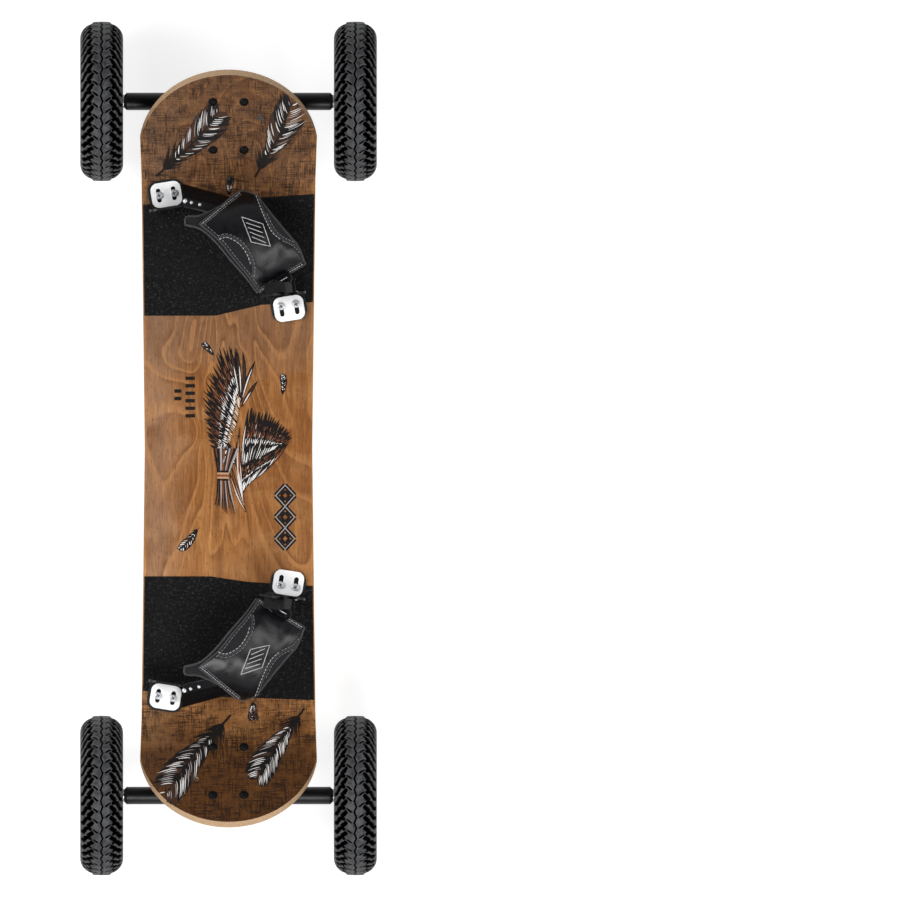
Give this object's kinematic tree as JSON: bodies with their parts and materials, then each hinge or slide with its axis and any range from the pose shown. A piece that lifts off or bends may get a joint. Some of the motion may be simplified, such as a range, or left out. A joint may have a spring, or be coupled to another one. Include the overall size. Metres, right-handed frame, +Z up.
{
  "type": "mountainboard",
  "caption": "Unpowered all-terrain board: flexible laminated deck, channel trucks with shock blocks, knobbly pneumatic wheels and ratchet strap foot bindings.",
  "frame": {"origin": "on the ground under the middle of the board", "axes": "+Z up, +Y to the nose, +X to the rider's toe side where the ratchet buckles are nearer"},
  "size_m": [0.372, 1.07, 0.2233],
  "materials": {
    "deck_wood": "stained wood grain, satin lacquer, pale ply edges",
    "grip_tape": "coarse black grit",
    "black_metal": "satin black powder coat",
    "steel": "zinc-plated steel",
    "black_steel": "black oxide steel",
    "clamp_aluminium": "brushed aluminium",
    "yellow_block": "yellow polyurethane",
    "bush_plastic": "black nylon",
    "tyre_rubber": "matt black rubber with knobs",
    "tube_rubber": "butyl rubber",
    "hub_plastic": "black glass-filled nylon",
    "pad_vinyl": "glossy black vinyl with grey stitching",
    "strap_plastic": "black moulded plastic",
    "buckle_plastic": "black moulded nylon"
  },
  "bodies": {
    "board": {"deck": "deck_wood", "grip_tape_front": "grip_tape", "grip_tape_rear": "grip_tape", "truck_bolts": "black_steel", "truck_nuts": "black_steel", "kingpin_nuts": "steel", "kingpin_bushes": "bush_plastic", "binding_plates": "clamp_aluminium", "binding_bolts": "steel", "binding_tee_nuts": "steel", "front_base_plate": "black_metal", "front_kingpin": "black_steel", "front_shock_block_left": "yellow_block", "front_shock_block_right": "yellow_block", "front_bracket_left": "black_metal", "front_bracket_right": "black_metal", "front_ladder_strap": "strap_plastic", "rear_base_plate": "black_metal", "rear_kingpin": "black_steel", "rear_shock_block_left": "yellow_block", "rear_shock_block_right": "yellow_block", "rear_bracket_left": "black_metal", "rear_bracket_right": "black_metal", "rear_ladder_strap": "strap_plastic"},
    "front_truck": {"front_hanger": "black_metal", "front_axle": "steel", "front_axle_fasteners": "steel"},
    "front_strap": {"front_strap_pad": "pad_vinyl", "front_buckle_body": "buckle_plastic"},
    "front_ratchet_lever": {"front_buckle_lever": "buckle_plastic"},
    "front_left_wheel": {"front_left_tyre": "tyre_rubber", "front_left_inner_tube": "tube_rubber", "front_left_hub_outer": "hub_plastic", "front_left_hub_inner": "hub_plastic", "front_left_bearings": "steel", "front_left_hub_bolts": "steel"},
    "front_right_wheel": {"front_right_tyre": "tyre_rubber", "front_right_inner_tube": "tube_rubber", "front_right_hub_outer": "hub_plastic", "front_right_hub_inner": "hub_plastic", "front_right_bearings": "steel", "front_right_hub_bolts": "steel"},
    "rear_truck": {"rear_hanger": "black_metal", "rear_axle": "steel", "rear_axle_fasteners": "steel"},
    "rear_strap": {"rear_strap_pad": "pad_vinyl", "rear_buckle_body": "buckle_plastic"},
    "rear_ratchet_lever": {"rear_buckle_lever": "buckle_plastic"},
    "rear_left_wheel": {"rear_left_tyre": "tyre_rubber", "rear_left_inner_tube": "tube_rubber", "rear_left_hub_outer": "hub_plastic", "rear_left_hub_inner": "hub_plastic", "rear_left_bearings": "steel", "rear_left_hub_bolts": "steel"},
    "rear_right_wheel": {"rear_right_tyre": "tyre_rubber", "rear_right_inner_tube": "tube_rubber", "rear_right_hub_outer": "hub_plastic", "rear_right_hub_inner": "hub_plastic", "rear_right_bearings": "steel", "rear_right_hub_bolts": "steel"}
  },
  "joints": [
    {"name": "front_truck_lean", "type": "hinge", "parent": "board", "child": "front_truck", "pos_m": [0, 0.42715, 0.12432], "axis": [0, 0.866, 0.5], "range_deg": [-15, 15], "stiffness_Nm_per_rad": 60, "deforming": ["front_shock_block_left", "front_shock_block_right"]},
    {"name": "front_left_wheel_spin", "type": "hinge", "parent": "front_truck", "child": "front_left_wheel", "pos_m": [-0.159, 0.435, 0.1], "axis": [1, 0, 0], "continuous": true},
    {"name": "front_right_wheel_spin", "type": "hinge", "parent": "front_truck", "child": "front_right_wheel", "pos_m": [0.159, 0.435, 0.1], "axis": [1, 0, 0], "continuous": true},
    {"name": "front_strap_swing", "type": "hinge", "parent": "board", "child": "front_strap", "pos_m": [-0.06237, 0.30208, 0.151], "axis": [0.1564, -0.9877, 0], "range_deg": [0, 75]},
    {"name": "front_ratchet_lever_lift", "type": "hinge", "parent": "front_strap", "child": "front_ratchet_lever", "pos_m": [0.08141, 0.20234, 0.18135], "axis": [-0.1564, 0.9877, 0], "range_deg": [0, 60]},
    {"name": "rear_truck_lean", "type": "hinge", "parent": "board", "child": "rear_truck", "pos_m": [0, -0.42715, 0.12432], "axis": [0, -0.866, 0.5], "range_deg": [-15, 15], "stiffness_Nm_per_rad": 60, "deforming": ["rear_shock_block_left", "rear_shock_block_right"]},
    {"name": "rear_left_wheel_spin", "type": "hinge", "parent": "rear_truck", "child": "rear_left_wheel", "pos_m": [-0.159, -0.435, 0.1], "axis": [1, 0, 0], "continuous": true},
    {"name": "rear_right_wheel_spin", "type": "hinge", "parent": "rear_truck", "child": "rear_right_wheel", "pos_m": [0.159, -0.435, 0.1], "axis": [1, 0, 0], "continuous": true},
    {"name": "rear_strap_swing", "type": "hinge", "parent": "board", "child": "rear_strap", "pos_m": [-0.06337, -0.29508, 0.151], "axis": [-0.1564, -0.9877, 0], "range_deg": [0, 75]},
    {"name": "rear_ratchet_lever_lift", "type": "hinge", "parent": "rear_strap", "child": "rear_ratchet_lever", "pos_m": [0.08041, -0.19534, 0.18135], "axis": [0.1564, 0.9877, 0], "range_deg": [0, 60]}
  ]
}
